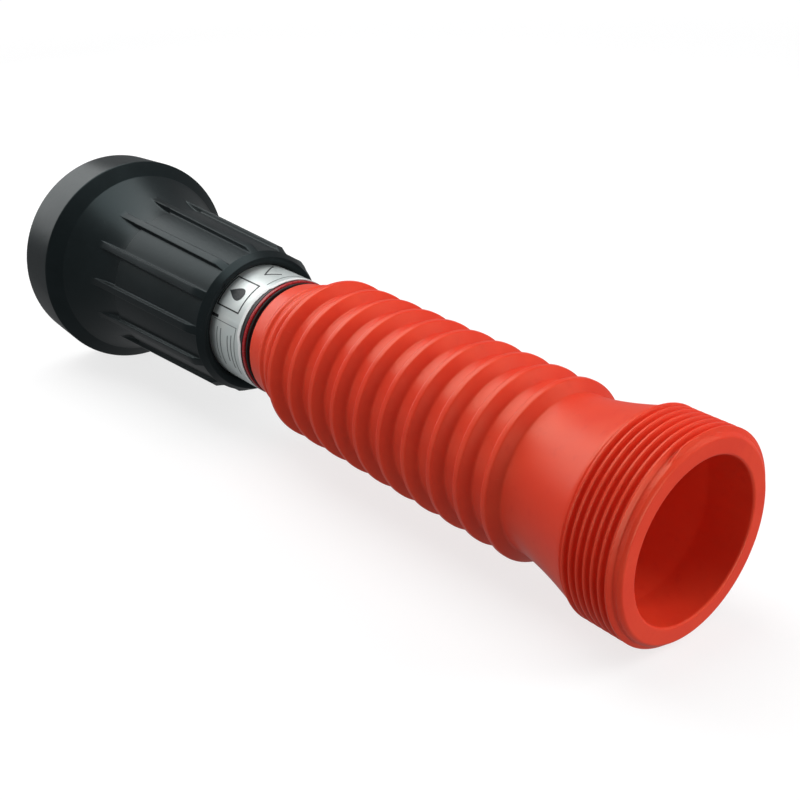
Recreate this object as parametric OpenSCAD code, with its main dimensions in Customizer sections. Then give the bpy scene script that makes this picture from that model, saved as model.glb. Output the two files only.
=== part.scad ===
// Twist-action fire hose nozzle: a ribbed moulded handle with a male hose thread, a metal
// barrel with a label, and a head that screws along the barrel and opens a poppet valve.
// The parts are drawn along their own +Z, the way the water flows, and laid down at the end,
// so that the water flows towards -X. The origin is the centre of the inlet end face.

/* [Handle] */
// Radius over the crests of the male hose thread (G 2)
thread_r = 29.8; // [29.5:0.1:29.8]
// Pitch of the hose thread (11 turns to the inch)
thread_pitch = 2.309; // [2.309:0.001:2.309]
// Number of thread crests
thread_turns = 8; // [6:1:8]
// Radius of the water inlet
inlet_r = 22.75; // [21:0.25:23]
// Radius over the grip ribs
grip_rib_r = 26.6; // [25:0.05:27]
// Radius of the grip between its ribs
grip_floor_r = 23.4; // [22:0.1:23.5]
// Number of grip ribs
grip_ribs = 10; // [5:1:10]
// Distance between two grip ribs
grip_pitch = 10.7; // [10.2:0.1:10.7]
// Length of the handle, from the inlet face to its head end
handle_len = 164.4; // [160:0.1:165]

/* [Barrel] */
// Outer radius of the barrel
barrel_r = 20.2; // [19.5:0.1:20.2]
// Radius of the waterway in the barrel
barrel_bore_r = 13.5; // [12:0.5:13.5]
// Distance from the inlet face to the barrel's front end
barrel_end = 248; // [246:0.5:249]
// Thickness of the label
label_t = 0.2; // [0.1:0.05:0.2]
// Length of the label
label_len = 32; // [20:1:32]

/* [Head] */
// Distance from the inlet face to the head's rear end, with the valve shut
head_rear = 185.5; // [185:0.1:187]
// Distance from the inlet face to the bell's front rim, with the valve shut
bell_front = 292.2; // [290:0.1:295]
// Radius of the bell at the rear edge of its band
bell_r = 39.5; // [38:0.1:41]
// Radius of the bell at its front rim
bell_rim_r = 37.85; // [37:0.05:39]
// Number of grip ribs along the head
head_ribs = 13; // [8:1:16]
// Width of one head rib
head_rib_w = 2.9; // [2:0.1:4]
// Turn of the head from shut to fully open, in degrees
head_turn = 270; // [180:10:270]
// Travel of the head along the barrel from shut to fully open
head_travel = 13.5; // [9:0.5:13.5]

/* [Valve] */
// Radius of the outlet orifice
orifice_r = 11.5; // [10.5:0.1:12]
// Radius of the stem
stem_r = 3.9; // [3:0.1:3.9]
// Number of spray teeth
spray_teeth = 18; // [12:1:24]

/* [Hidden] */

$fn = 96;
eps = 0.01;                              // overshoot of a cutting tool
face_gap = 0.05;                         // gap between stacked faces
fit_gap = 0.05;                          // radial gap of a screwed or pressed fit
slide_gap = 0.1;                         // radial gap of a loose fit on the stem
thread_gap = 0.02;                       // radial gap of a nut or a pin in its hole
cut_l = 60;                              // length of a tool that cuts right through

// Hose thread, drawn as rings with the true crest, root and pitch
thread_root_r = thread_r - 1.479;
crest_w = 0.5;
flank_w = 0.8;
thread_start = 1.35;
thread_end = thread_start + (thread_turns - 1) * thread_pitch + crest_w;
end_face_r = 27.4;

// Flare between the thread and the first grip rib
flare_start = thread_end + 0.9;
flare_end = 43.3;
flare_h = 5.4;
flare_power = 1.5;

// Grip ribs: each is a raised cosine
first_rib = 47.5;
rib_half = 3.3;
last_rib = first_rib + (grip_ribs - 1) * grip_pitch;
rib_h = grip_rib_r - grip_floor_r;

// Handle bore and the socket for the barrel's spigot
bore_straight = 14;
bore_cone_end = 60;
handle_bore_r = 15;
socket_start = 134;
spigot_r = 17.4;
socket_r = spigot_r + fit_gap;

// Barrel
spigot_start = socket_start + 1;
collar_t = 1.5;
gasket_r = 18.6;
gasket_lip_r = 19.7;
gasket_t = 2.7;
gasket_lip_t = 0.8;
collar_z = handle_len + gasket_t + 2 * face_gap;
shoulder_z = collar_z + collar_t + face_gap;
label_start = shoulder_z + 1.2;
spider_seat_z = 231;
hub_back_z = spider_seat_z - 2;
hub_front_z = spider_seat_z + 10;
spider_bore_r = 16.2;
spigot_seal_z = 140;
barrel_seal_z = 226.4;
ring_groove_z = 244;
ring_groove_w = 1.5;
ring_groove_d = 1;
snap_z = 240.1;
snap_w = 1.2;
snap_depth = 0.9;

// Flat-section seals in their grooves
seal_t = 1.4;
seal_w = 2;
seal_side_gap = 0.1;
seal_room = 0.05;
seal_squeeze = 0.02;

// Cam: two pins in the head run in two helical slots in the barrel
pin_r = 1.9;
pin_z = 207.5;
slot_r = 3;
slot_floor_r = 18.2;
slot_tool_h = 6;
slot_steps = 24;
starts = 2;

// Head
shroud_bore_r = 20.75;
insert_start = 203;
insert_r = 23.6;
insert_bore_r = barrel_r + 0.25;
insert_step = 230;
insert_cavity_r = 22;
insert_end = 264;
panel_start = 188.6;
panel_r0 = 25.3;
panel_end = 242;
panel_r1 = 27.2;
neck_r = 26.6;
cone_end = 268;
cone_r = 34.8;
cone_power = 1.57;
wiper_z = 190;
wiper_w = 3;
wiper_out_r = 22.3;
shroud_step = 267;
bell_inner_r = 34.6;
bell_floor = 276;
head_rib_r0 = 26.75;
head_rib_r1 = 29.25;
head_rib_end = 256;
first_head_rib = -55.6;

// Stem's washer and nut
washer_t = 1.5;
washer_z = hub_back_z - face_gap - washer_t;
stem_nut_h = 6.4;

// Valve
seat_z = 252;
seat_back_r = 17.5;
seat_slope = 2 / 3;
seat_front = 261;
seat_seal_z = 255.1;
orifice_end = 270;
flange_z = insert_end + face_gap;
flange_t = 3;
seal_z = 257.5;
seal_r = 12.15;
seal_section = 1.3;
poppet_gap = 0.5;
poppet_front = 263;
deflector_t = 6.5;
teeth_z = flange_z + flange_t + face_gap;
teeth_top = 274;
teeth_in_r = 14.5;
teeth_flange_r = 26;
screw_circle_r = 20.4;
screws = 3;
screw_r = 1;
screw_head_r = 2.1;
screw_seat_z = teeth_z + 1.2;

function raised(z, c, half, h) = abs(z - c) < half ? h * (1 + cos(180 * (z - c) / half)) / 2 : 0;
function flare_r(z) =
    grip_floor_r + flare_h * pow((flare_end - z) / (flare_end - flare_start), flare_power);
function cone_out_r(z) =
    neck_r + (cone_r - neck_r) * pow((z - panel_end) / (cone_end - panel_end), cone_power);
function seat_r(z) = seat_back_r - seat_slope * (z - seat_z);

// A ring with a rectangular section
module ring(r_in, r_out, z, h) {
    translate([0, 0, z])
        difference() {
            cylinder(r = r_out, h = h);
            translate([0, 0, -1]) cylinder(r = r_in, h = h + 2);
        }
}

// A round-section ring
module o_ring(r_mid, r_section, z) {
    translate([0, 0, z])
        rotate_extrude() translate([r_mid, 0]) circle(r = r_section, $fn = 32);
}

// A hexagonal nut with a bore
module hex_nut(across, r_bore, z, h) {
    translate([0, 0, z])
        difference() {
            cylinder(r = across / sqrt(3), h = h, $fn = 6);
            translate([0, 0, -1]) cylinder(r = r_bore, h = h + 2);
        }
}

// A row of copies around the axis
module around(count) {
    for (i = [0:count - 1]) rotate([0, 0, i * 360 / count]) children();
}

// Outer outline of the handle from the inlet face to the nose, as [radius, distance] points
function thread_points() = [
    for (i = [0:thread_turns - 1])
        let (z = thread_start + i * thread_pitch)
            each [[thread_root_r, z - flank_w], [thread_r, z], [thread_r, z + crest_w],
                  [thread_root_r, z + crest_w + flank_w]]];
function flare_points() = [
    for (i = [0:9]) let (z = flare_start + (flare_end - flare_start) * i / 10) [flare_r(z), z]];
function rib_points() = [
    for (k = [0:grip_ribs - 1], i = [-4:4])
        let (c = first_rib + k * grip_pitch, z = c + rib_half * i / 4)
            [grip_floor_r + raised(z, c, rib_half, rib_h), z]];
function nose_points() = [
    [22.9, last_rib + 4.6], [23.6, last_rib + 6], [23.4, last_rib + 7.2], [22.6, last_rib + 8.2],
    [21.7, last_rib + 10], [22.2, last_rib + 11.2], [22, last_rib + 12.3], [21.4, last_rib + 13.4],
    [20.5, handle_len - 1], [19.5, handle_len]];

module handle_body() {
    color("#e2301f")
        rotate_extrude()
            polygon(concat(
                [[inlet_r + 0.5, 0], [end_face_r, 0]],
                thread_points(), flare_points(), rib_points(), nose_points(),
                [[socket_r, handle_len], [socket_r, socket_start], [handle_bore_r, socket_start],
                 [handle_bore_r, bore_cone_end], [inlet_r, bore_straight], [inlet_r, 0.5]]));
}

module spigot_seal() {
    color("#181818")
        ring(socket_r - seal_t, socket_r - seal_squeeze, spigot_seal_z, seal_w);
}

// The rubber joint: a sleeve with a wider lip that lies against the collar
module joint_gasket() {
    sleeve_z = handle_len + face_gap;
    lip_z = sleeve_z + gasket_t - gasket_lip_t;
    color("#161412")
        union() {
            ring(socket_r, gasket_r, sleeve_z, gasket_t);
            ring(socket_r, gasket_lip_r, lip_z, gasket_lip_t);
        }
}

module collar_ring() {
    color("#9c1a1c")
        ring(socket_r, barrel_r, collar_z, collar_t);
}

module helical_slot() {
    for (i = [0:slot_steps])
        rotate([0, 0, i * head_turn / slot_steps])
            translate([slot_floor_r, 0, pin_z + i * head_travel / slot_steps])
                rotate([0, 90, 0]) cylinder(r = slot_r, h = slot_tool_h, $fn = 32);
}

module barrel() {
    color("#b9bec0")
        difference() {
            union() {
                translate([0, 0, spigot_start]) cylinder(r = spigot_r, h = shoulder_z - spigot_start + 1);
                translate([0, 0, shoulder_z]) cylinder(r = barrel_r, h = barrel_end - shoulder_z);
            }
            translate([0, 0, spigot_start - 1]) cylinder(r = barrel_bore_r, h = barrel_end);
            translate([0, 0, spider_seat_z]) cylinder(r = spider_bore_r, h = cut_l);
            translate([0, 0, snap_z - face_gap])
                cylinder(r = spider_bore_r + snap_depth, h = snap_w + 2 * face_gap);
            ring(spigot_r - seal_t, cut_l, spigot_seal_z - seal_side_gap, seal_w + 2 * seal_side_gap);
            ring(barrel_r - seal_t - seal_room, cut_l, barrel_seal_z - seal_side_gap,
                 seal_w + 2 * seal_side_gap);
            ring(barrel_r - ring_groove_d, cut_l, ring_groove_z - face_gap, ring_groove_w + 2 * face_gap);
            around(starts) rotate([0, 0, 90]) helical_slot();
        }
}

module label_wrap() {
    color("#cfd8d8")
        ring(barrel_r + 0.005, barrel_r + label_t, label_start, label_len);
}

module barrel_seal() {
    color("#181818")
        ring(barrel_r - seal_t, insert_bore_r - seal_squeeze, barrel_seal_z, seal_w);
}

module retaining_ring() {
    color("#9aa0a4")
        difference() {
            ring(barrel_r - ring_groove_d + 0.02, insert_cavity_r - 0.3, ring_groove_z, ring_groove_w);
            translate([0, -1.5, ring_groove_z - 1]) cube([cut_l, 3, 4]);
        }
}

module spider() {
    hub_r = 6.5;
    hub_len = 12;
    rim_w = 2.5;
    rim_len = 9;
    vanes = 4;
    vane_t = 2.2;
    vane_len = 7;
    color("#e8e4d8")
        difference() {
            union() {
                translate([0, 0, hub_back_z]) cylinder(r = hub_r, h = hub_len);
                ring(spider_bore_r - rim_w, spider_bore_r - fit_gap, spider_seat_z + face_gap, rim_len);
                around(vanes)
                    translate([hub_r - 1, -vane_t / 2, spider_seat_z + 1])
                        cube([spider_bore_r - hub_r - 0.5, vane_t, vane_len]);
            }
            translate([0, 0, hub_back_z - 1]) cylinder(r = stem_r + slide_gap, h = hub_len + 2);
        }
}

module snap_ring() {
    color("#9aa0a4")
        difference() {
            ring(spider_bore_r - 1.6, spider_bore_r + snap_depth - fit_gap, snap_z, snap_w);
            translate([0, -2, snap_z - 1]) cube([cut_l, 4, 4]);
        }
}

module stem() {
    stem_start = 219;
    stem_end = 272.5;
    collar_r = 5.5;
    collar_len = 3;
    chamfer = 0.6;
    color("#c8a24a")
        union() {
            translate([0, 0, stem_start]) cylinder(r1 = stem_r - chamfer, r2 = stem_r, h = chamfer);
            translate([0, 0, stem_start + chamfer])
                cylinder(r = stem_r, h = stem_end - stem_start - chamfer);
            translate([0, 0, hub_front_z + face_gap]) cylinder(r = collar_r, h = collar_len);
        }
}

module stem_washer() {
    color("#b0b4b6")
        ring(stem_r + slide_gap, 7.5, washer_z, washer_t);
}

module stem_nut() {
    color("#b0b4b6")
        hex_nut(13, stem_r + thread_gap, washer_z - face_gap - stem_nut_h, stem_nut_h);
}

module poppet() {
    back_z = 246;
    wide_z = 256;
    color("#c8a24a")
        difference() {
            rotate_extrude()
                polygon([[stem_r + fit_gap, back_z], [7, back_z], [7.4, back_z + 2], [9, back_z + 4.5],
                         [12, wide_z - 3.2], [seat_r(wide_z) - poppet_gap, wide_z - 1],
                         [seat_r(wide_z) - poppet_gap, wide_z],
                         [seat_r(poppet_front) - poppet_gap, poppet_front],
                         [stem_r + fit_gap, poppet_front]]);
            o_ring(seal_r, seal_section + seal_room, seal_z);
        }
}

module poppet_seal() {
    color("#181818")
        o_ring(seal_r, seal_section, seal_z);
}

module deflector() {
    base_z = poppet_front + face_gap;
    rim_r = orifice_r - 1.2;
    color("#c8a24a")
        rotate_extrude()
            polygon([[stem_r + fit_gap, base_z], [6.4, base_z], [6.4, base_z + 2.2],
                     [7.4, base_z + 3.8], [rim_r, base_z + 5.2], [rim_r, base_z + 6.2],
                     [rim_r - 0.7, base_z + deflector_t], [stem_r + fit_gap, base_z + deflector_t]]);
}

module cap_nut() {
    nut_z = poppet_front + deflector_t + 2 * face_gap;
    nut_h = 3.6;
    across = 11;
    color("#c8a24a")
        difference() {
            union() {
                translate([0, 0, nut_z]) cylinder(r = across / sqrt(3), h = nut_h, $fn = 6);
                translate([0, 0, nut_z + nut_h - eps]) cylinder(r1 = 5.2, r2 = 3.4, h = 1.8);
            }
            translate([0, 0, nut_z - 1]) cylinder(r = stem_r + thread_gap, h = nut_h + 1);
        }
}

module wiper_ring() {
    color("#1c1c1c")
        ring(barrel_r + label_t + 0.05, wiper_out_r - 0.05, wiper_z + 0.1, wiper_w - 0.2);
}

// One straight grip rib of the head
module head_rib() {
    rotate([0, 0, first_head_rib])
        rotate([90, 0, 0])
            linear_extrude(head_rib_w, center = true)
                polygon([[insert_r + 1, panel_start + 0.4], [head_rib_r0 - 0.6, panel_start + 0.4],
                         [head_rib_r0, panel_start + 1.2], [head_rib_r1, head_rib_end],
                         [insert_r + 2, head_rib_end]]);
}

module head_shroud() {
    cone_points = [
        for (i = [0:8]) let (z = panel_end + (cone_end - panel_end) * i / 8) [cone_out_r(z), z]];
    color("#1d2224")
        union() {
            rotate_extrude()
                polygon(concat(
                    [[22.3, head_rear], [23.4, head_rear], [23.9, head_rear + 0.5],
                     [panel_r0, panel_start], [panel_r1, panel_end - 0.5]],
                    cone_points,
                    [[36.4, cone_end + 1.2], [bell_r - 0.5, 272.5], [bell_r, 273.1],
                     [bell_rim_r + 0.1, bell_front - 1.2], [bell_rim_r - 1, bell_front],
                     [bell_inner_r + 0.9, bell_front], [bell_inner_r + 0.2, bell_front - 1],
                     [bell_inner_r, bell_floor], [teeth_flange_r + 2, shroud_step + 3.4],
                     [teeth_flange_r + 0.3, shroud_step + 3], [teeth_flange_r + 0.3, shroud_step],
                     [insert_r + fit_gap, shroud_step], [insert_r + fit_gap, insert_start - 0.5],
                     [shroud_bore_r, insert_start - 0.5], [shroud_bore_r, wiper_z + wiper_w],
                     [wiper_out_r, wiper_z + wiper_w], [wiper_out_r, wiper_z],
                     [shroud_bore_r, wiper_z], [shroud_bore_r, head_rear + 1.7]]));
            around(head_ribs) head_rib();
        }
}

module head_insert() {
    color("#a8adb0")
        difference() {
            translate([0, 0, insert_start]) cylinder(r = insert_r, h = insert_end - insert_start);
            translate([0, 0, insert_start - 1]) cylinder(r = insert_bore_r, h = cut_l);
            translate([0, 0, insert_step]) cylinder(r = insert_cavity_r, h = cut_l);
            around(starts)
                translate([0, 0, pin_z])
                    rotate([-90, 0, 0]) cylinder(r = pin_r + thread_gap, h = cut_l, $fn = 48);
        }
}

module cam_pins() {
    pin_tip_r = slot_floor_r + 0.4;
    color("#d0b060")
        around(starts)
            translate([0, pin_tip_r, pin_z])
                rotate([-90, 0, 0]) cylinder(r = pin_r, h = insert_r - 0.1 - pin_tip_r, $fn = 48);
}

module seat_ring() {
    color("#c8a24a")
        difference() {
            rotate_extrude()
                polygon([[seat_back_r, seat_z], [insert_cavity_r - fit_gap - 0.6, seat_z],
                         [insert_cavity_r - fit_gap, seat_z + 0.6],
                         [insert_cavity_r - fit_gap, flange_z], [insert_r - 0.1, flange_z],
                         [insert_r - 0.1, flange_z + flange_t], [orifice_r + 2.2, flange_z + flange_t],
                         [orifice_r + 2.2, orifice_end], [orifice_r, orifice_end],
                         [orifice_r, seat_front]]);
            ring(insert_cavity_r - seal_t - seal_room, cut_l, seat_seal_z - seal_side_gap,
                 seal_w + 2 * seal_side_gap);
            around(screws)
                translate([screw_circle_r, 0, flange_z - 5])
                    cylinder(r = screw_r + thread_gap, h = 20, $fn = 32);
        }
}

module seat_seal() {
    color("#181818")
        ring(insert_cavity_r - seal_t, insert_cavity_r - seal_squeeze, seat_seal_z, seal_w);
}

// The ring of fixed teeth that breaks the jet into spray, and clamps the shroud
module teeth_ring() {
    plate_t = 2.4;
    tooth_w = 2.6;
    tooth_len = 3.4;
    color("#23282a")
        difference() {
            union() {
                ring(orifice_r + 2.3, teeth_flange_r, teeth_z, plate_t);
                around(spray_teeth)
                    translate([teeth_in_r, -tooth_w / 2, teeth_z + plate_t - eps])
                        cube([tooth_len, tooth_w, teeth_top - teeth_z - plate_t]);
                ring(orifice_r + 2.3, teeth_in_r + 0.6, teeth_z, teeth_top - teeth_z - 2);
            }
            around(screws) {
                translate([screw_circle_r, 0, teeth_z - 1]) cylinder(r = screw_r + 0.15, h = 10, $fn = 32);
                translate([screw_circle_r, 0, screw_seat_z])
                    cylinder(r = screw_head_r + 0.2, h = 10, $fn = 32);
            }
        }
}

module teeth_screws() {
    shank_len = 9;
    head_t = 1.6;
    slot_w = 0.6;
    head_z = screw_seat_z + face_gap;
    color("#9aa0a4")
        around(screws)
            translate([screw_circle_r, 0, 0])
                difference() {
                    union() {
                        translate([0, 0, head_z + 1 - shank_len]) cylinder(r = screw_r, h = shank_len, $fn = 32);
                        translate([0, 0, head_z]) cylinder(r = screw_head_r, h = head_t, $fn = 32);
                    }
                    translate([-slot_w / 2, -3, head_z + head_t / 2]) cube([slot_w, 6, 3]);
                }
}

// Lays the nozzle down: the parts' own +Z becomes -X
module lay() {
    rotate([0, -90, 0]) children();
}

lay() handle_body();
lay() spigot_seal();
lay() joint_gasket();
lay() collar_ring();
lay() barrel();
lay() label_wrap();
lay() barrel_seal();
lay() retaining_ring();
lay() spider();
lay() snap_ring();
lay() stem();
lay() stem_washer();
lay() stem_nut();
lay() poppet();
lay() poppet_seal();
lay() deflector();
lay() cap_nut();
lay() wiper_ring();
lay() head_shroud();
lay() head_insert();
lay() cam_pins();
lay() seat_ring();
lay() seat_seal();
lay() teeth_ring();
lay() teeth_screws();
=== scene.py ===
"""The looks of a twist-action fire hose nozzle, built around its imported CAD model.

The nozzle lies along X: the hose screws on at the origin, and the water flows towards -X.
A place on it is given as (s, r, phi): s is the distance from the inlet face, r the radius,
and phi the angle from +Z towards +Y. Lengths below are millimetres until place() turns
them into the frame's metres.
"""

import math

import bmesh
import bpy
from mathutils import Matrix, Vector


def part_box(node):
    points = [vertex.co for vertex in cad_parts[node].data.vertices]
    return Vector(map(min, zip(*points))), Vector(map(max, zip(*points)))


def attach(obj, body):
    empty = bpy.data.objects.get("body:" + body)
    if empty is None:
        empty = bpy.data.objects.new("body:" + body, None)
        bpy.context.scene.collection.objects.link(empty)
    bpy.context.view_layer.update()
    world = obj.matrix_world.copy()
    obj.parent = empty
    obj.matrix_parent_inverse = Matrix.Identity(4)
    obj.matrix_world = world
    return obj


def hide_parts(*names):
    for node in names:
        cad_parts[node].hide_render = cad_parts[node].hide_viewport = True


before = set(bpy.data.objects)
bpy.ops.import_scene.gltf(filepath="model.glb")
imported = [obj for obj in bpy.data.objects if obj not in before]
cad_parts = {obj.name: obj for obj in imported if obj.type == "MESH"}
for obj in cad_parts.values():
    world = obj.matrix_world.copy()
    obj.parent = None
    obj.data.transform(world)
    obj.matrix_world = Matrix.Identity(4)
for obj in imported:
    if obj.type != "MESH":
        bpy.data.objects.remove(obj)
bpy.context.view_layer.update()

MM = 0.001
COLUMNS = 192  # faces around a turned piece

# ---------------------------------------------------------------- places on the nozzle


def place(s, r, phi):
    """A point of the nozzle, in the frame's metres."""
    return (-s * MM, r * math.sin(phi) * MM, r * math.cos(phi) * MM)


def reach(node):
    """Where a CAD node starts and ends along the nozzle, and its outer radius, in mm."""
    low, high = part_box(node)
    return -high.x / MM, -low.x / MM, high.z / MM


handle_start, handle_end, thread_r = reach("handle_body")
collar_start, collar_end, barrel_r = reach("collar_ring")
gasket_start, gasket_end, gasket_r = reach("joint_gasket")
label_start, label_end, label_r = reach("label_wrap")
head_start, bell_front, bell_r = reach("head_shroud")

# ---------------------------------------------------------------- outlines


def smooth(t):
    """0 to 1 with soft ends."""
    t = min(max(t, 0.0), 1.0)
    return t * t * (3 - 2 * t)


def rounded(points, steps=5):
    """An open outline of (r, s) points. A third value rounds that corner to that radius."""
    outline = []
    last = len(points) - 1
    for i, point in enumerate(points):
        corner = Vector(point[:2])
        radius = point[2] if len(point) > 2 else 0
        if not radius or i in (0, last):
            outline.append(tuple(corner))
            continue
        back = Vector(points[i - 1][:2]) - corner
        on = Vector(points[i + 1][:2]) - corner
        half = back.angle(on) / 2
        if half > math.radians(88):
            outline.append(tuple(corner))
            continue
        cut = min(radius / math.tan(half), 0.48 * back.length, 0.48 * on.length)
        radius = cut * math.tan(half)
        back.normalize()
        on.normalize()
        centre = corner + (back + on).normalized() * (radius / math.sin(half))
        start = corner + back * cut - centre
        sweep = start.angle_signed(corner + on * cut - centre)
        support = min(0.35 * cut, 0.3)
        outline.append(tuple(corner + back * (cut + support)))
        for k in range(steps + 1):
            turn = -sweep * k / steps
            c, d = math.cos(turn), math.sin(turn)
            x, y = start.x * c - start.y * d, start.x * d + start.y * c
            outline.append((centre.x + x, centre.y + y))
        outline.append(tuple(corner + on * (cut + support)))
    return outline


def spline(points, steps=4):
    """A smooth curve through (r, s) points."""
    curve = []
    last = len(points) - 1
    for i in range(last):
        p0, p1 = Vector(points[max(i - 1, 0)]), Vector(points[i])
        p2, p3 = Vector(points[i + 1]), Vector(points[min(i + 2, last)])
        for k in range(steps):
            t = k / steps
            even = 2 * p1 + (p2 - p0) * t
            square = (2 * p0 - 5 * p1 + 4 * p2 - p3) * t * t
            cube = (3 * p1 - p0 - 3 * p2 + p3) * t**3
            curve.append(tuple(0.5 * (even + square + cube)))
    curve.append(tuple(points[-1]))
    return curve


# ---------------------------------------------------------------- meshes


def new_piece(name, rings, faces, sharp=50):
    """A mesh object from rings of points and faces of point numbers, cleaned and shaded."""
    mesh = bpy.data.meshes.new(name)
    mesh.from_pydata([p for ring in rings for p in ring], [], faces)
    bm = bmesh.new()
    bm.from_mesh(mesh)
    bmesh.ops.remove_doubles(bm, verts=bm.verts, dist=2e-6)
    bmesh.ops.dissolve_degenerate(bm, edges=bm.edges, dist=1e-7)
    bmesh.ops.recalc_face_normals(bm, faces=bm.faces)
    bm.to_mesh(mesh)
    bm.free()
    mesh.shade_smooth()
    mesh.set_sharp_from_angle(angle=math.radians(sharp))
    piece = bpy.data.objects.new(name, mesh)
    bpy.context.scene.collection.objects.link(piece)
    return piece


def ring_faces(count, columns, closed=True):
    """Quads between neighbouring rings, and from the last ring back to the first if closed."""
    faces = []
    for i in range(count if closed else count - 1):
        a, b = i * columns, (i + 1) % count * columns
        for j in range(columns):
            k = (j + 1) % columns
            faces.append((a + j, a + k, b + k, b + j))
    return faces


def turned(name, outline):
    """A turned solid. The outline is closed, of (r, s) points."""
    rings = []
    for r, s in outline:
        rings.append([place(s, r, math.tau * j / COLUMNS) for j in range(COLUMNS)])
    return new_piece(name, rings, ring_faces(len(rings), COLUMNS))


def dress(piece, body, slot, look, *nodes):
    """Puts a piece on its body, gives it its material and hides the CAD nodes that it stands for."""
    piece.data.materials.clear()
    piece.data.materials.append(look)
    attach(piece, body)
    if nodes:
        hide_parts(*nodes)
    return piece


# ---------------------------------------------------------------- materials


class Look:
    """A node material that is built up from layers of procedural detail."""

    def __init__(self, name, color, roughness, metallic=0.0, **constants):
        self.material = bpy.data.materials.new(name)
        self.material.use_nodes = True
        self.nodes = self.material.node_tree.nodes
        self.links = self.material.node_tree.links
        self.shader = self.nodes["Principled BSDF"]
        self.color = (*color, 1.0)
        self.shader.inputs["Base Color"].default_value = self.color
        self.shader.inputs["Roughness"].default_value = roughness
        self.shader.inputs["Metallic"].default_value = metallic
        for key, value in constants.items():
            self.shader.inputs[key.replace("_", " ")].default_value = value
        self.roughness = roughness
        self.place = self.nodes.new("ShaderNodeTexCoord").outputs["Object"]
        self.last_color = None
        self.last_rough = None
        self.last_bump = None

    def node(self, kind, **values):
        node = self.nodes.new(kind)
        for key, value in values.items():
            if hasattr(node, key):
                setattr(node, key, value)
            else:
                node.inputs[key.replace("_", " ")].default_value = value
        return node

    def stretched(self, scale):
        """Object coordinates stretched along the axes."""
        mapping = self.node("ShaderNodeMapping")
        mapping.inputs["Scale"].default_value = scale
        self.links.new(self.place, mapping.inputs["Vector"])
        return mapping.outputs["Vector"]

    def round_the_axis(self, along, around, out):
        """Coordinates (along the axis, arc, radius), each times its own scale."""
        parts = self.node("ShaderNodeSeparateXYZ")
        self.links.new(self.place, parts.inputs[0])
        angle = self.node("ShaderNodeMath", operation="ARCTAN2")
        self.links.new(parts.outputs["Y"], angle.inputs[0])
        self.links.new(parts.outputs["Z"], angle.inputs[1])
        flat = self.node("ShaderNodeCombineXYZ")
        self.links.new(parts.outputs["Y"], flat.inputs[0])
        self.links.new(parts.outputs["Z"], flat.inputs[1])
        radius = self.node("ShaderNodeVectorMath", operation="LENGTH")
        self.links.new(flat.outputs[0], radius.inputs[0])
        whole = self.node("ShaderNodeCombineXYZ")
        for socket, source, scale in (
            (0, parts.outputs["X"], along),
            (1, angle.outputs[0], around),
            (2, radius.outputs["Value"], out),
        ):
            times = self.node("ShaderNodeMath", operation="MULTIPLY")
            times.inputs[1].default_value = scale
            self.links.new(source, times.inputs[0])
            self.links.new(times.outputs[0], whole.inputs[socket])
        return whole.outputs[0]

    def noise(self, scale, detail=3.0, rough=0.55, vector=None, distortion=0.0):
        node = self.node("ShaderNodeTexNoise", Scale=scale, Detail=detail, Roughness=rough)
        node.inputs["Distortion"].default_value = distortion
        self.links.new(vector or self.place, node.inputs["Vector"])
        return node.outputs["Fac"]

    def ramp(self, value, low, high):
        """value from low to high becomes 0 to 1, with soft ends."""
        node = self.node("ShaderNodeMapRange")
        node.interpolation_type = "SMOOTHSTEP"
        node.inputs["From Min"].default_value = low
        node.inputs["From Max"].default_value = high
        self.links.new(value, node.inputs["Value"])
        return node.outputs["Result"]

    def tint(self, mask, color, amount=1.0):
        """Mixes a colour over what is there, where the mask is 1."""
        mix = self.node("ShaderNodeMix", data_type="RGBA")
        times = self.node("ShaderNodeMath", operation="MULTIPLY")
        times.inputs[1].default_value = amount
        self.links.new(mask, times.inputs[0])
        self.links.new(times.outputs[0], mix.inputs["Factor"])
        if self.last_color is None:
            mix.inputs["A"].default_value = self.color
        else:
            self.links.new(self.last_color, mix.inputs["A"])
        mix.inputs["B"].default_value = (*color, 1.0)
        self.last_color = mix.outputs["Result"]
        self.links.new(self.last_color, self.shader.inputs["Base Color"])

    def roughen(self, mask, amount):
        """Adds amount to the roughness where the mask is 1."""
        node = self.node("ShaderNodeMath", operation="MULTIPLY_ADD", use_clamp=True)
        node.inputs[1].default_value = amount
        self.links.new(mask, node.inputs[0])
        if self.last_rough is None:
            node.inputs[2].default_value = self.roughness
        else:
            self.links.new(self.last_rough, node.inputs[2])
        self.last_rough = node.outputs[0]
        self.links.new(self.last_rough, self.shader.inputs["Roughness"])

    def bump(self, height, depth_mm):
        """Adds relief of a depth in mm, on top of the relief that is there."""
        node = self.node("ShaderNodeBump")
        node.inputs["Strength"].default_value = 1.0
        node.inputs["Distance"].default_value = depth_mm * MM
        self.links.new(height, node.inputs["Height"])
        if self.last_bump is not None:
            self.links.new(self.last_bump, node.inputs["Normal"])
        self.last_bump = node.outputs["Normal"]
        self.links.new(self.last_bump, self.shader.inputs["Normal"])


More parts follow.
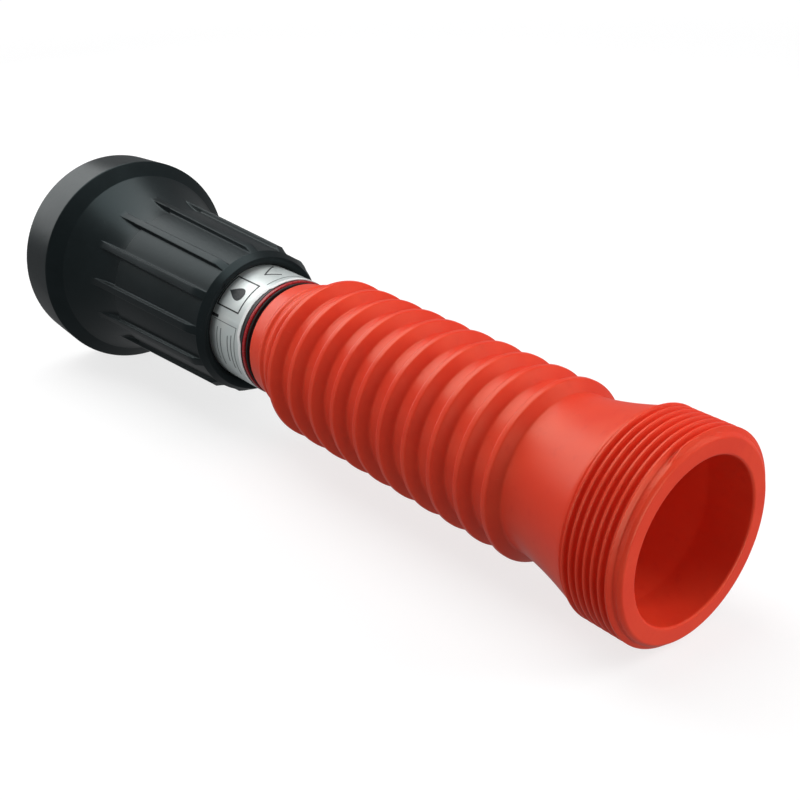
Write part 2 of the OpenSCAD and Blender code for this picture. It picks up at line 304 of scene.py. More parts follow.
def red_nylon():
    """Semi-gloss moulded nylon: flow marks, fine orange peel and a few pale scuffs."""
    look = Look("red_nylon", (0.80, 0.046, 0.019), 0.31, Subsurface_Weight=0.10, IOR=1.5)
    look.shader.inputs["Subsurface Radius"].default_value = (3 * MM, 0.5 * MM, 0.4 * MM)
    look.shader.inputs["Subsurface Scale"].default_value = 1.0
    look.shader.inputs["Specular Tint"].default_value = (1.0, 0.82, 0.55, 1.0)
    flow = look.noise(70, 3, 0.5, look.stretched((0.45, 1, 1)), 0.6)
    look.tint(look.ramp(flow, 0.35, 0.7), (0.86, 0.066, 0.026), 0.5)
    look.tint(look.ramp(look.noise(260, 4), 0.56, 0.74), (0.72, 0.032, 0.016), 0.35)
    scuffs = look.noise(900, 5, 0.7, look.round_the_axis(0.45, 0.05, 0.2), 0.8)
    look.tint(look.ramp(scuffs, 0.66, 0.74), (0.92, 0.20, 0.12), 0.30)
    look.roughen(look.ramp(flow, 0.3, 0.7), 0.08)
    look.roughen(look.ramp(scuffs, 0.62, 0.74), 0.22)
    look.bump(look.noise(520, 2), 0.020)
    look.bump(look.noise(3800, 2), 0.003)
    return look.material


def collar_red():
    """Gloss red plastic, darker than the handle's red: the darkness is painted shade on the ring."""
    look = Look("collar_red", (0.36, 0.010, 0.014), 0.22, IOR=1.5)
    look.tint(look.ramp(look.noise(300, 4), 0.45, 0.75), (0.46, 0.016, 0.02), 0.6)
    look.roughen(look.ramp(look.noise(700, 3), 0.4, 0.8), 0.15)
    look.bump(look.noise(2600, 2), 0.004)
    return look.material


def rubber():
    """Matt black rubber with a little bloom. On the joint gasket's lip the black is also painted shadow."""
    look = Look("black_rubber", (0.012, 0.012, 0.012), 0.62)
    look.tint(look.ramp(look.noise(350, 5), 0.5, 0.8), (0.035, 0.033, 0.032), 0.6)
    look.roughen(look.ramp(look.noise(500, 3), 0.35, 0.75), 0.18)
    look.bump(look.noise(3000, 3), 0.012)
    return look.material


def head_black():
    """Satin moulded black: fine spark-eroded grain, flow marks and rubbed patches."""
    look = Look("head_black", (0.005, 0.007, 0.0075), 0.32, IOR=1.5,
                Specular_IOR_Level=0.25)
    look.shader.inputs["Specular Tint"].default_value = (0.72, 0.96, 1.0, 1.0)
    flow = look.noise(55, 3, 0.5, look.stretched((0.5, 1, 1)), 0.4)
    look.tint(look.ramp(flow, 0.35, 0.7), (0.008, 0.011, 0.012), 0.8)
    rubbed = look.noise(600, 6, 0.72, look.round_the_axis(0.5, 0.04, 0.5), 0.9)
    look.tint(look.ramp(rubbed, 0.62, 0.76), (0.045, 0.055, 0.055), 0.35)
    look.roughen(look.ramp(flow, 0.3, 0.7), 0.07)
    look.roughen(look.ramp(rubbed, 0.58, 0.74), 0.12)
    look.bump(look.noise(430, 2), 0.016)
    look.bump(look.noise(4200, 2), 0.007)
    return look.material


def label_foil():
    """Silver-white foil label: faint mottling, creases and a clear satin coat."""
    look = Look("label_foil", (0.66, 0.72, 0.71), 0.34, 0.35, Coat_Weight=0.35)
    look.shader.inputs["Coat Roughness"].default_value = 0.18
    look.tint(look.ramp(look.noise(120, 3), 0.35, 0.7), (0.72, 0.76, 0.74), 0.8)
    look.tint(look.ramp(look.noise(900, 5), 0.6, 0.8), (0.50, 0.55, 0.55), 0.25)
    look.roughen(look.ramp(look.noise(400, 4), 0.4, 0.75), 0.10)
    look.bump(look.noise(260, 3), 0.03)
    return look.material


def label_margin():
    """The label's bare white margin."""
    look = Look("label_margin", (0.80, 0.82, 0.81), 0.38)
    look.tint(look.ramp(look.noise(500, 5), 0.55, 0.8), (0.62, 0.62, 0.60), 0.4)
    look.roughen(look.ramp(look.noise(300, 4), 0.4, 0.75), 0.15)
    look.bump(look.noise(700, 3), 0.012)
    return look.material


def label_ink(name, color):
    """Printing ink, a little worn."""
    look = Look(name, color, 0.42)
    look.tint(look.ramp(look.noise(1500, 5), 0.55, 0.8), (0.16, 0.17, 0.175), 0.5)
    look.roughen(look.ramp(look.noise(900, 3), 0.4, 0.8), 0.12)
    return look.material


def turned_metal(name, color, dark, roughness, groove=0.006, anodised=False):
    """Turned metal: fine grooves around the axis, on its faces as well, and dull patches."""
    look = Look(name, color, roughness, 0.25 if anodised else 1.0)
    grooves = look.noise(1.0, 4, 0.6, look.round_the_axis(5200, 1.2, 5200))
    look.tint(look.ramp(look.noise(240, 4), 0.45, 0.8), dark, 0.6)
    look.tint(look.ramp(grooves, 0.5, 0.8), dark, 0.35)
    look.roughen(look.ramp(grooves, 0.35, 0.7), 0.10)
    look.roughen(look.ramp(look.noise(380, 4), 0.45, 0.8), 0.12)
    look.bump(grooves, groove)
    return look.material


def acetal():
    """Natural acetal, milky and slightly waxy."""
    look = Look("spider_plastic", (0.80, 0.78, 0.72), 0.36, Subsurface_Weight=0.1)
    look.shader.inputs["Subsurface Radius"].default_value = (1 * MM, 1 * MM, 1 * MM)
    look.tint(look.ramp(look.noise(300, 3), 0.4, 0.75), (0.72, 0.69, 0.61), 0.6)
    look.roughen(look.ramp(look.noise(500, 3), 0.4, 0.8), 0.12)
    look.bump(look.noise(1800, 2), 0.006)
    return look.material


def floor_look():
    """A pale studio sheet that glows, so that it stays even into the distance."""
    look = Look("studio_floor", (0.30, 0.30, 0.30), 0.9, Specular_IOR_Level=0.0)
    look.shader.inputs["Emission Color"].default_value = (1.0, 1.0, 1.0, 1.0)
    distance = look.node("ShaderNodeVectorMath", operation="LENGTH")
    look.links.new(look.place, distance.inputs[0])
    glow = look.node("ShaderNodeMapRange")
    for key, value in (("From Min", 0.3), ("From Max", 1.6), ("To Min", 0.74), ("To Max", 0.95)):
        glow.inputs[key].default_value = value
    look.links.new(distance.outputs["Value"], glow.inputs["Value"])
    look.links.new(glow.outputs["Result"], look.shader.inputs["Emission Strength"])
    look.tint(look.ramp(look.noise(9, 4), 0.3, 0.8), (0.29, 0.29, 0.292), 0.7)
    look.roughen(look.ramp(look.noise(40, 3), 0.4, 0.8), 0.08)
    return look.material


RED = red_nylon()
COLLAR_PAINTED_SHADE = collar_red()
RUBBER_AND_PAINTED_SHADOW = rubber()
BLACK = head_black()
FOIL = label_foil()
MARGIN = label_margin()
INK = label_ink("label_ink", (0.016, 0.020, 0.022))
GREY_INK = label_ink("label_grey_ink", (0.16, 0.18, 0.18))
ANODISED = turned_metal("barrel_metal", (0.035, 0.036, 0.038), (0.02, 0.02, 0.021), 0.32, 0.004, True)
ALUMINIUM = turned_metal("insert_metal", (0.64, 0.65, 0.67), (0.44, 0.45, 0.47), 0.26)
BRASS = turned_metal("brass", (0.72, 0.50, 0.22), (0.50, 0.33, 0.13), 0.24)
STEEL = turned_metal("steel", (0.60, 0.60, 0.61), (0.42, 0.42, 0.43), 0.24, 0.003)
ACETAL = acetal()

# ---------------------------------------------------------------- handle

PITCH = 2.309  # hose thread, 11 turns to the inch
TURN_POINTS = 12  # rings per turn of the thread
THREAD_DEPTH = 1.479
THREAD_START = math.radians(-28)  # where the first turn begins on the end face
FIRST_CREST = 1.3
CREST_FLAT, FLANK_W = 0.16, 0.82  # half of the crest's flat, and the flank beside it
RUNOUT_START = 17.6  # where the thread's root begins to rise into the flare
thread_low, thread_high = 0.9, 18.9
root_r = thread_r - THREAD_DEPTH

flare_end, floor_r, flare_height = 43.3, 23.4, 5.4
rib_r, first_rib, rib_pitch, rib_count, rib_half = 26.6, 47.5, 10.7, 10, 3.3
last_rib = first_rib + (rib_count - 1) * rib_pitch
inlet_r, bore_r, socket_r, socket_start = 22.75, 15.0, 17.45, 134.0


def thread_height(offset):
    """Share of the thread's depth at a distance from the middle of its crest."""
    return 1 - smooth((abs(offset) - CREST_FLAT) / FLANK_W)


def thread_base(s):
    """Radius under the thread, which runs from its root into the flare."""
    rise = smooth((s - RUNOUT_START) / (thread_high - RUNOUT_START))
    return root_r + (floor_r + flare_height - root_r) * rise


def thread_rings():
    """Rings of the helical hose thread. Each ring climbs one pitch in its turn."""
    turns = int((thread_high - thread_low) / PITCH) + 2
    rings = []
    for i in range(turns * TURN_POINTS + 1):
        ring = []
        for j in range(COLUMNS):
            climb = PITCH * j / COLUMNS
            helix = thread_low - PITCH + PITCH * i / TURN_POINTS
            s = min(max(helix + climb, thread_low), thread_high)
            turn, offset = divmod(helix - FIRST_CREST + PITCH / 2, PITCH)
            height = thread_height(offset - PITCH / 2) if turn >= 0 else 0
            if turn == 0:
                height *= smooth(j / 7)
            height *= smooth((s - thread_low) / 0.4) * smooth((thread_high - s) / 0.9)
            phi = THREAD_START + math.tau * j / COLUMNS
            ring.append(place(s, thread_base(s) + THREAD_DEPTH * height, phi))
        rings.append(ring)
    return rings


def thread_faces(count, first):
    """Quads of the thread. Where a turn closes, a ring meets the ring one turn further on."""
    faces = []
    for i in range(count - 1):
        for j in range(COLUMNS):
            a, b = first + i * COLUMNS + j, first + (i + 1) * COLUMNS + j
            if j < COLUMNS - 1:
                faces.append((a, a + 1, b + 1, b))
            elif i + 1 + TURN_POINTS < count:
                c = first + (i + TURN_POINTS) * COLUMNS
                faces.append((a, c, c + COLUMNS, b))
    return faces


def handle_outline():
    """The handle's skin from the thread's big end over the ribs to the nose, as (r, s)."""
    outline = []
    for i in range(17):
        t = i / 17
        s = thread_high + (flare_end - thread_high) * t
        outline.append((floor_r + flare_height * (1 - t) ** 1.5, s))
    for k in range(rib_count):
        centre = first_rib + k * rib_pitch
        outline += rounded([
            (floor_r, centre - rib_half - 1.0), (floor_r, centre - rib_half, 1.6),
            (rib_r, centre - 0.85, 0.75), (rib_r, centre + 0.85, 0.75),
            (floor_r, centre + rib_half, 1.6), (floor_r, centre + rib_half + 1.0)])
    nose = [(22.9, 4.6), (23.6, 6.0), (23.4, 7.2), (22.6, 8.2), (21.7, 10.0), (22.2, 11.2), (22.0, 12.3),
            (21.4, 13.4), (20.95, 16.0), (20.4, 19.0)]
    outline += spline([(r, last_rib + ds) for r, ds in nose])
    outline += rounded([(20.4, last_rib + 19.2), (20.1, handle_end, 0.8), (socket_r, handle_end, 0.3),
                        (socket_r, socket_start + 1)])[1:]
    return outline


def bore_outline():
    """The handle's inside from the barrel's socket back to the inlet, and the end face."""
    return rounded([(socket_r, socket_start + 0.5), (socket_r, socket_start, 0.2),
                    (bore_r, socket_start, 0.4), (bore_r, 60, 12),
                    (inlet_r, 14, 8), (inlet_r, 0.0, 0.75), (27.5, 0.0, 1.0),
                    (root_r, thread_low)], 8)


def handle():
    """The moulded handle, one closed skin with a helical thread."""
    rings = thread_rings()
    faces = thread_faces(len(rings), 0)
    skin = [(thread_base(thread_high), thread_high)] + handle_outline()[1:] + bore_outline()
    first = len(rings) * COLUMNS
    for r, s in skin:
        rings.append([place(s, r, THREAD_START + math.tau * j / COLUMNS) for j in range(COLUMNS)])
    faces += [tuple(first + n for n in face) for face in ring_faces(len(skin), COLUMNS, False)]
    return new_piece("handle_skin", rings, faces)


dress(handle(), "nozzle_body", "red_nylon", RED, "handle_body")

# ---------------------------------------------------------------- neck: gasket, collar, label


def gasket_with_shadow_lip():
    """The rubber joint: a sleeve at the handle, and a wider black lip against the collar. The lip is partly the real
    joint and partly painted shadow: it covers most of the collar's face towards the inlet, where the gap lies in
    shade.
    """
    sleeve_r, shadow_lip_start = 18.6, gasket_end - 0.8
    return turned("joint_gasket_with_painted_shadow_lip", rounded([
        (socket_r, gasket_start), (sleeve_r, gasket_start, 0.3), (sleeve_r, shadow_lip_start, 0.3),
        (gasket_r, shadow_lip_start, 0.3), (gasket_r, gasket_end, 0.15), (socket_r, gasket_end)]))


def collar():
    return turned("collar_red_ring", rounded([
        (socket_r, collar_start), (barrel_r, collar_start, 0.3), (barrel_r, collar_end, 0.45),
        (socket_r, collar_end)]))


# The gasket's black lip is partly painted shadow in the gap before the collar.
dress(gasket_with_shadow_lip(), "nozzle_body", "black_rubber", RUBBER_AND_PAINTED_SHADOW, "joint_gasket")
# The collar's dark red is painted shade on the ring.
dress(collar(), "nozzle_body", "collar_red", COLLAR_PAINTED_SHADE, "collar_ring")

MARGIN_W = 1.5  # the label's white margin
LAP = (math.radians(-68), math.radians(-63))  # where the label's end laps over its start
SHY = (math.radians(-84), math.radians(-18))  # where the label's edge stands back from the collar


def label_edge(phi):
    """Where the label starts at an angle: its edge runs a little out of true."""
    inside = smooth((phi - SHY[0]) / 0.18) * smooth((SHY[1] - phi) / 0.06)
    step = 0.25 * smooth((phi + 0.66) / 0.02) + 0.25 * smooth((phi + 0.50) / 0.02)
    return label_start - 0.9 + inside * (1.25 - step)


def label_sheet(name, start, end, columns=360):
    """Part of the wrapped label, between two distances that may depend on the angle."""
    rows = 14
    skin, back = [], []
    for i in range(rows + 1):
        outer, inner = [], []
        for j in range(columns):
            phi = math.tau * j / columns - math.pi
            a, b = start(phi), end(phi)
            s = a + (b - a) * i / rows
            lap = smooth((phi - LAP[0]) / 0.02) * smooth((LAP[1] - phi) / 0.02)
            outer.append(place(s, label_r + 0.07 * lap, phi))
            inner.append(place(s, barrel_r + 0.01, phi))
        skin.append(outer)
        back.append(inner)
    rings = skin + back[::-1]
    return new_piece(name, rings, ring_faces(len(rings), columns), 35)


dress(label_sheet("label_foil_sheet", lambda phi: label_edge(phi) + MARGIN_W, lambda phi: label_end),
      "nozzle_body", "label_foil", FOIL, "label_wrap")
dress(label_sheet("label_white_margin", label_edge, lambda phi: label_edge(phi) + MARGIN_W),
      "nozzle_body", "label_foil", MARGIN)

# ---------------------------------------------------------------- printing on the label

INK_T = 0.08  # how far the print stands on the label, so that it shows


class Print:
    """Strokes of ink on the label. A place is (s, a): a is the arc from the label's top."""

    def __init__(self):
        self.points = []
        self.faces = []

    def patch(self, quad):
        """A flat patch with four corners, as a thin plate on the label."""
        first = len(self.points)
        for r in (label_r - 0.02, label_r + INK_T):
            for s, a in quad:
                self.points.append(place(s, r, a / label_r))
        self.faces.append(tuple(first + n for n in (3, 2, 1, 0)))
        self.faces.append(tuple(first + n for n in (4, 5, 6, 7)))
        for n in range(4):
            m = (n + 1) % 4
            self.faces.append((first + n, first + m, first + 4 + m, first + 4 + n))

    def stroke(self, path, width, closed=False):
        """A line of ink along a path, with mitred corners."""
        fine = []
        ends = path + path[:1] if closed else path
        for p, q in zip(ends, ends[1:]):
            steps = max(1, int(math.dist(p, q) / 0.8))
            fine += [(p[0] + (q[0] - p[0]) * k / steps, p[1] + (q[1] - p[1]) * k / steps)
                     for k in range(steps)]
        if not closed:
            fine.append(path[-1])
        sides = []
        count = len(fine)
        for i, p in enumerate(fine):
            before = fine[i - 1] if i or closed else p
            after = fine[(i + 1) % count] if i < count - 1 or closed else p
            u = Vector((p[0] - before[0], p[1] - before[1]))
            v = Vector((after[0] - p[0], after[1] - p[1]))
            u = u.normalized() if u.length else v.normalized()
            v = v.normalized() if v.length else u
            along = (u + v).normalized()
            across = Vector((-along.y, along.x)) * (width / 2 / max(along.dot(v), 0.4))
            sides.append(((p[0] + across.x, p[1] + across.y), (p[0] - across.x, p[1] - across.y)))
        pairs = list(zip(sides, sides[1:])) + ([(sides[-1], sides[0])] if closed else [])
        for (a, b), (c, d) in pairs:
            self.patch((a, b, d, c))

    def piece(self, name):
        mesh = bpy.data.meshes.new(name)
        mesh.from_pydata(self.points, [], self.faces)
        bm = bmesh.new()
        bm.from_mesh(mesh)
        bmesh.ops.remove_doubles(bm, verts=bm.verts, dist=1e-6)
        bmesh.ops.recalc_face_normals(bm, faces=bm.faces)
        bm.to_mesh(mesh)
        bm.free()
        piece = bpy.data.objects.new(name, mesh)
        bpy.context.scene.collection.objects.link(piece)
        return piece


def arc_of(degrees):
    return math.radians(degrees) * label_r


def drop(s, a, size):
    """The outline of a drop of water, with its tip towards the head."""
    outline = []
    for t in range(32):
        turn = math.tau * t / 32
        across = 0.85 * size * math.sin(turn) * math.sin(turn / 2) ** 1.4
        outline.append((s + size * math.cos(turn), a + across))
    return outline


def label_print():
    """A framed solid drop, an index mark and a bar, none of them lettering."""
    ink = Print()
    s0, s1, a0, a1 = 174.6, 187.0, arc_of(-56), arc_of(-23)
    ink.stroke([(s0, a0), (s1, a0), (s1, a1), (s0, a1)], 0.5, True)
    for size in (3.5, 2.9, 2.3, 1.7, 1.1, 0.5):
        ink.stroke(drop(180.8, arc_of(-39.5), size), 0.64, True)
    ink.stroke([(185.2, arc_of(14)), (179.3, arc_of(-7)), (175.6, arc_of(5))], 0.5)
    ink.stroke([(184.0, arc_of(-66.6)), (187.6, arc_of(-66.6))], 0.95)
    return ink.piece("label_print")


def label_rule():
    """Thin plain rules: a border along the label's edge and lines across its small field."""
    rule = Print()
    rule.stroke([(186, arc_of(-69.5)), (172.9, arc_of(-69.5)), (172.9, arc_of(-118))], 0.24)
    rule.stroke([(172.6, arc_of(-18)), (172.6, arc_of(48))], 0.24)
    for s, start, end in ((174.9, -112, -78), (177.0, -106, -80), (181.2, -114, -76), (183.3, -110, -76)):
        rule.stroke([(s, arc_of(start)), (s, arc_of(end))], 0.38)
    return rule.piece("label_rule")


dress(label_print(), "nozzle_body", "label_foil", INK)
dress(label_rule(), "nozzle_body", "label_foil", GREY_INK)

# ---------------------------------------------------------------- head shroud

HEAD_RIBS = 13
FIRST_HEAD_RIB = math.radians(-55.6)
# Across a rib: distance from the edge of its flat top, and share of its height there
RIB_EDGE = ((-0.40, 1.0), (-0.16, 0.985), (-0.05, 0.90), (0.03, 0.62), (0.11, 0.26), (0.24, 0.08),
            (0.42, 0.015), (0.60, 0.0))
GAP_COLUMNS = 10


def rib_columns(half):
    """Columns of one rib and the gap after it: (distance from the rib's middle, share of height)."""
    left = [(-(half + d), share) for d, share in reversed(RIB_EDGE)]
    right = [(half + d, share) for d, share in RIB_EDGE]
    return left + [(0.0, 1.0)] + right


def ribbed(name, rings, count, first, sharp=50):
    """A turned solid with straight ribs.

    Each ring is (low, high, half, even): the outline's point between ribs and on a rib, the
    rib's half width, and how evenly the columns are spread, from 0 to 1.
    """
    across = 2 * len(RIB_EDGE) + 1
    columns = (across + GAP_COLUMNS) * count
    points = []
    for low, high, half, even in rings:
        radius = max(high[0], 1.0)
        ring = []
        for k in range(count):
            middle = first + math.tau * k / count
            rib = rib_columns(half)
            spots = [(middle + d / radius, share) for d, share in rib]
            gap_start = rib[-1][0] / radius
            gap = math.tau / count - 2 * gap_start
            for i in range(1, GAP_COLUMNS + 1):
                spots.append((middle + gap_start + gap * i / (GAP_COLUMNS + 1), 0.0))
            for i, (phi, share) in enumerate(spots):
                spread = middle + math.tau / count * (i - across // 2) / len(spots)
                phi += (spread - phi) * even
                r = low[0] + (high[0] - low[0]) * share
                s = low[1] + (high[1] - low[1]) * share
                ring.append(place(s, r, phi))
        points.append(ring)
    return new_piece(name, points, ring_faces(len(points), columns), sharp)


panel_start, panel_end, neck_r = 188.6, 242.0, 26.6
cone_end, cone_r = 268.0, 34.8
rib_end = 257.0
RIB_START, RIB_LENGTH = 189, 67  # the stretch over which a rib tapers
CREST_R, CREST_RISE = 26.75, 2.5  # radius of a rib's top at its rear, and its rise to the front


def panel_r(s):
    return 25.3 + 1.9 * (s - panel_start) / (panel_end - panel_start)


def cone_radius(s):
    return neck_r + (cone_r - neck_r) * ((s - panel_end) / (cone_end - panel_end)) ** 1.57


def head_outside():
    """The skin between the ribs, from the rear rim to the bell's front, as (r, s)."""
    rear = rounded([(22.6, head_start), (23.7, head_start, 0.5), (panel_r(panel_start), panel_start, 0.5),
                    (panel_r(192), 192)], 5)
    panel = [(panel_r(s), s) for s in range(195, 240, 4)]
    step = rounded([(panel_r(240), 240), (panel_r(241.4), 241.4, 0.35), (neck_r, 242.1, 0.4),
                    (cone_radius(244), 244)], 3)
    cone = [(cone_radius(244 + 1.5 * i), 244 + 1.5 * i) for i in range(1, 15)]
    bell = rounded([(cone_radius(265.5), 265.5), (cone_radius(267.8), 267.8, 1.2),
                    (bell_r - 0.05, 272.4, 0.9), (38.3, bell_front - 0.2, 1.3), (35.2, bell_front, 0.6)], 7)
    return rear + panel + step + cone + bell


def head_inside():
    """The inner skin from the bell's rim back to the rear rim, as (r, s)."""
    return rounded([(35.2, bell_front), (34.75, bell_front - 0.9, 0.4), (34.6, 276, 3), (28, 270.4, 0.8),
                    (26.3, 270, 0.2), (26.3, 267, 0.1), (23.65, 267, 0.1), (23.65, 202.5, 0.1),
                    (20.75, 202.5, 0.3), (20.75, 193, 0.15), (22.3, 193, 0.1), (22.3, 190, 0.1),
                    (20.75, 190, 0.15), (20.75, 187.3, 0.3), (22.6, head_start)], 4)[1:-1]


def rib_top(s):
    """Radius of a rib's top, which ends upright at the rear and runs into the flare."""
    return CREST_R + CREST_RISE * (s - RIB_START) / RIB_LENGTH


def head():
    rings = []
    for r, s in head_outside():
        high = r
        if s >= panel_start:
            rise = smooth((s - panel_start - 0.1) / 0.9)
            high = max(r, r + (rib_top(s) - r) * rise)
        relaxed = smooth((s - rib_end) / 8) if s > 200 else 1 - smooth((s - 186.5) / 2)
        half = 1.55 - 0.30 * (s - RIB_START) / RIB_LENGTH if s < 270 else 1.25
        rings.append(((r, s), (high, s), half, relaxed))
    for r, s in head_inside():
        rings.append(((r, s), (r, s), 1.25, 1.0))
    return ribbed("head_skin", rings, HEAD_RIBS, FIRST_HEAD_RIB)


dress(head(), "head", "head_black", BLACK, "head_shroud")

# ---------------------------------------------------------------- what shows in the bell


def teeth():
    """The ring of spray teeth, with its screws' counterbores left to the screws' washers."""
    start, end, flange_r = reach("teeth_ring")
    face = start + 2.4
    low = rounded([(13.8, start), (flange_r, start, 0.3), (flange_r, face, 0.5), (18.2, face, 0.1),
                   (17.9, face, 0.1), (14.9, face + 2.4, 0.5), (13.8, face + 2.4, 0.4), (13.8, start + 1)], 3)
    rings = []
    for r, s in low:
        tall = smooth((17.95 - r) / 0.35) * smooth((r - 14.3) / 0.3)
        high = max(s, s + (end - s) * tall) if s >= face - 0.01 else s
        rings.append(((r, s), (r, high), 1.1, 0.0 if 13.9 < r < 18.4 and s > start + 0.5 else 1.0))
    return ribbed("spray_teeth_ring", rings, 18, 0.0)


def seat():
    """The brass seat ring with its orifice."""
    start, end, radius = reach("seat_ring")
    return turned("seat_ring_turned", rounded([
        (17.5, start, 0.3), (21.3, start, 0.2), (21.9, start + 0.6, 0.2), (21.9, 264.0), (radius, 264.1, 0.2),
        (radius, 267.05, 0.3), (13.7, 267.05, 0.1), (13.7, end, 0.5), (11.5, end, 0.6), (11.5, 261, 1.0),
        (17.5, start + 0.3)], 5))


def deflector():
    """The brass deflector in the orifice."""
    start, end, rim = reach("deflector")
    return turned("deflector_turned", rounded([
        (3.95, start), (6.4, start, 0.1), (6.4, start + 2.2, 1.0), (7.4, start + 3.8, 1.5),
        (rim, start + 5.2, 0.25), (rim, start + 6.2, 0.3), (9.6, end, 0.3), (3.95, end)], 5))


def hexagon_nut(name, start, height, across, bore, dome_r, dome_h):
    """A hexagon nut with chamfered corners and a turned dome on it."""
    columns = 96
    corner = across / math.sqrt(3)

    def hex_r(phi):
        return across / 2 / math.cos((phi + math.pi / 6) % (math.pi / 3) - math.pi / 6)

    def ring(s, limit):
        turns = [math.tau * j / columns for j in range(columns)]
        return [place(s, min(hex_r(turn), limit), turn) for turn in turns]

    chamfer = corner - across / 2 + 0.15
    rings = [ring(start, across / 2 - 0.1), ring(start + chamfer * 0.5, corner - 0.05),
             ring(start + chamfer * 0.6, corner), ring(start + height - chamfer * 0.6, corner),
             ring(start + height - chamfer * 0.5, corner - 0.05), ring(start + height, across / 2 - 0.1)]
    top = start + height
    for r, s in rounded([(dome_r + 0.2, top), (dome_r, top + dome_h * 0.35, 0.5),
                         (dome_r * 0.62, top + dome_h, 0.6), (bore, top + dome_h), (bore, start)], 5):
        rings.append([place(s, r, math.tau * j / columns) for j in range(columns)])
    return new_piece(name, rings, ring_faces(len(rings), columns), 28)


def cap():
    start, end, radius = reach("cap_nut")
    return hexagon_nut("cap_nut_turned", start, 3.6, 11.0, 3.92, 5.2, end - start - 3.6)


def screws():
    """Three slotted pan-head screws that clamp the ring of teeth."""
    start, end, far = reach("teeth_screws")
    circle, head_r, shank_r, columns = 20.4, 2.1, 1.0, 48
    points, faces = [], []
    for k in range(3):
        phi = math.tau * k / 3
        centre = place(0, circle, phi)
        first = len(points)
        outline = rounded([(0.02, start), (shank_r, start, 0.2), (shank_r, end - 1.6),
                           (head_r, end - 1.6, 0.1), (head_r, end - 0.75, 0.3), (1.5, end - 0.1, 0.6), (0.02, end)], 4)
        for r, s in outline:
            for j in range(columns):
                turn = math.tau * j / columns
                y, z = r * math.sin(turn), r * math.cos(turn)
                depth = 0.55 if s > end - 0.8 and abs(y) < 0.3 else 0.0
                points.append((-(s - depth) * MM, centre[1] + y * MM, centre[2] + z * MM))
        faces += [tuple(first + n for n in face) for face in ring_faces(len(outline), columns, False)]
        last = first + (len(outline) - 1) * columns
        faces.append(tuple(range(first, first + columns)))
        faces.append(tuple(range(last, last + columns)))
    return new_piece("teeth_screw_set", [points], faces, 35)


dress(teeth(), "head", "head_black", BLACK, "teeth_ring")
dress(seat(), "head", "brass", BRASS, "seat_ring")
dress(deflector(), "nozzle_body", "brass", BRASS, "deflector")
dress(cap(), "nozzle_body", "brass", BRASS, "cap_nut")
dress(screws(), "head", "steel", STEEL, "teeth_screws")

# ---------------------------------------------------------------- CAD nodes that stay

KEPT = {
    "spigot_seal": RUBBER_AND_PAINTED_SHADOW, "barrel": ANODISED, "barrel_seal": RUBBER_AND_PAINTED_SHADOW, "retaining_ring": STEEL,
    "spider": ACETAL, "snap_ring": STEEL, "stem": BRASS, "stem_washer": STEEL, "stem_nut": STEEL,
    "poppet": BRASS, "poppet_seal": RUBBER_AND_PAINTED_SHADOW, "wiper_ring": RUBBER_AND_PAINTED_SHADOW, "head_insert": ALUMINIUM,
    "cam_pins": STEEL, "seat_seal": RUBBER_AND_PAINTED_SHADOW,
}
for node, look in KEPT.items():
    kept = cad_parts[node]
    kept.data.materials.clear()
    kept.data.materials.append(look)

# ---------------------------------------------------------------- floor, light and camera


def studio_floor():
    """A pale sheet under the thread's crests and the bell's edge, curved up far all around."""
    first_crest, bell_edge = 1, 273  # where the nozzle touches the sheet, from the inlet
    near, far = Vector((-first_crest, 0, -thread_r)), Vector((-bell_edge, 0, -bell_r))
    middle = (near + far) / 2
    tilt = (far - near).normalized()
    up = Vector((0, 1, 0)).cross(tilt).normalized()
    if up.z < 0:
        up.negate()
    flat_r, sweep_r, wall_h, columns = 4000, 2000, 6000, 96
    flat_rings, sweep_rings = 4, 12
    profile = [(flat_r * (k + 1) / flat_rings, 0) for k in range(flat_rings)]
    for k in range(1, sweep_rings + 1):
        turn = math.pi / 2 * k / sweep_rings
        profile.append((flat_r + sweep_r * math.sin(turn), sweep_r * (1 - math.cos(turn))))
    profile.append((flat_r + sweep_r, wall_h))
    points = []
    for r, height in profile:
        for j in range(columns):
            turn = math.tau * j / columns
            flat = tilt * r * math.cos(turn) + Vector((0, 1, 0)) * r * math.sin(turn)
            spot = middle + flat + up * height
            points.append(spot * MM)
    faces = ring_faces(len(profile), columns, False) + [tuple(reversed(range(columns)))]
    mesh = bpy.data.meshes.new("studio_floor")
    mesh.from_pydata(points, [], faces)
    mesh.shade_smooth()
    mesh.materials.append(floor_look())
    floor = bpy.data.objects.new("studio_floor", mesh)
    bpy.context.scene.collection.objects.link(floor)
    for rays in ("visible_diffuse", "visible_glossy", "visible_transmission", "visible_shadow"):
        setattr(floor, rays, False)
    return floor


studio_floor()


MIDDLE = (-150, 0, 0)  # where the lights aim, in mm


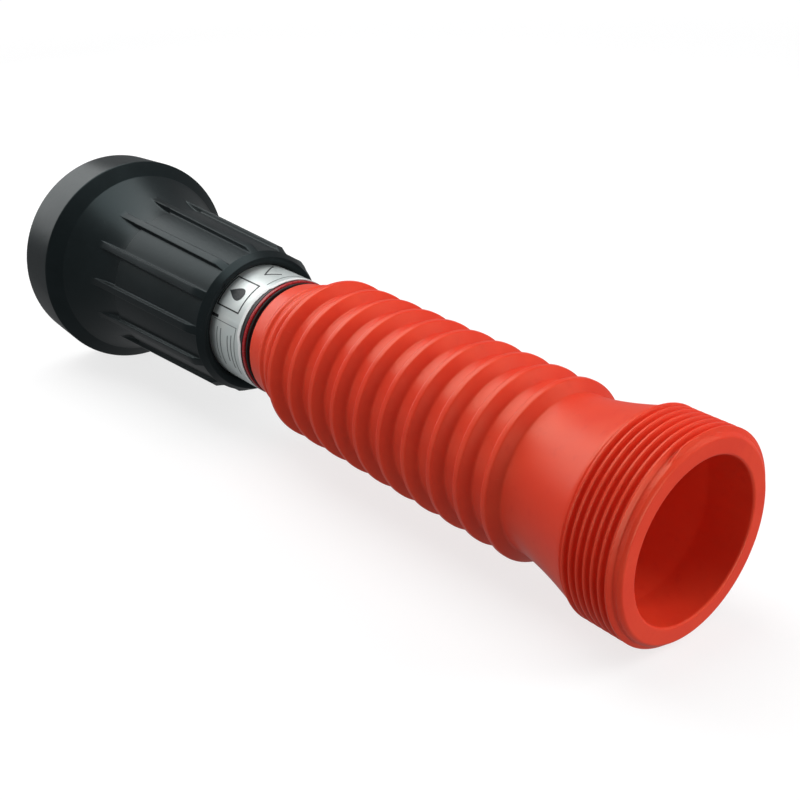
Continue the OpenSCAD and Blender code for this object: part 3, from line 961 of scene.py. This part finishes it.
def softbox(name, spot, width, height, power):
    """An area light at spot, in mm, that faces the middle of the nozzle."""
    light = bpy.data.lights.new(name, "AREA")
    light.shape = "RECTANGLE"
    light.size, light.size_y = width * MM, height * MM
    light.energy = power
    lamp = bpy.data.objects.new(name, light)
    lamp.location = Vector(spot) * MM
    lamp.rotation_euler = (Vector(MIDDLE) - Vector(spot)).to_track_quat("-Z", "Y").to_euler()
    bpy.context.scene.collection.objects.link(lamp)
    return lamp


softbox("overhead_softbox", (-420, 0, 720), 700, 700, 4.3)
softbox("head_end_softbox", (-870, -70, 335), 500, 700, 2.2)
softbox("inlet_end_softbox", (650, -30, 60), 400, 400, 1.5)
for fill in (softbox("front_fill", (-440, -790, 160), 450, 450, 1.6),
             softbox("rear_fill", (380, 530, 420), 450, 600, 3.8)):
    fill.visible_glossy = False


def studio_world():
    """A dim room light, with a little more from the pale sheet below."""
    world = bpy.data.worlds.new("studio")
    world.use_nodes = True
    nodes, links = world.node_tree.nodes, world.node_tree.links
    height = nodes.new("ShaderNodeSeparateXYZ")
    links.new(nodes.new("ShaderNodeTexCoord").outputs["Generated"], height.inputs[0])
    ramp = nodes.new("ShaderNodeMapRange")
    ramp.interpolation_type = "SMOOTHSTEP"
    for key, value in (("From Min", -0.5), ("From Max", 0.6), ("To Min", 0.25), ("To Max", 0.22)):
        ramp.inputs[key].default_value = value
    links.new(height.outputs["Z"], ramp.inputs["Value"])
    links.new(ramp.outputs["Result"], nodes["Background"].inputs["Strength"])
    nodes["Background"].inputs["Color"].default_value = (0.97, 0.98, 1.0, 1.0)
    return world


bpy.context.scene.world = studio_world()

camera_data = bpy.data.cameras.new("camera")
camera_data.sensor_width = 36
camera_data.lens = 55.12
camera_data.clip_start = 0.01
camera = bpy.data.objects.new("camera", camera_data)
camera.location = (0.14724, -0.21827, 0.15939)
camera.rotation_euler = Vector((-0.6903, 0.5812, -0.4310)).to_track_quat("-Z", "Y").to_euler()
bpy.context.scene.collection.objects.link(camera)
bpy.context.scene.camera = camera
bpy.context.scene.view_settings.view_transform = "Standard"

bpy.context.view_layer.update()
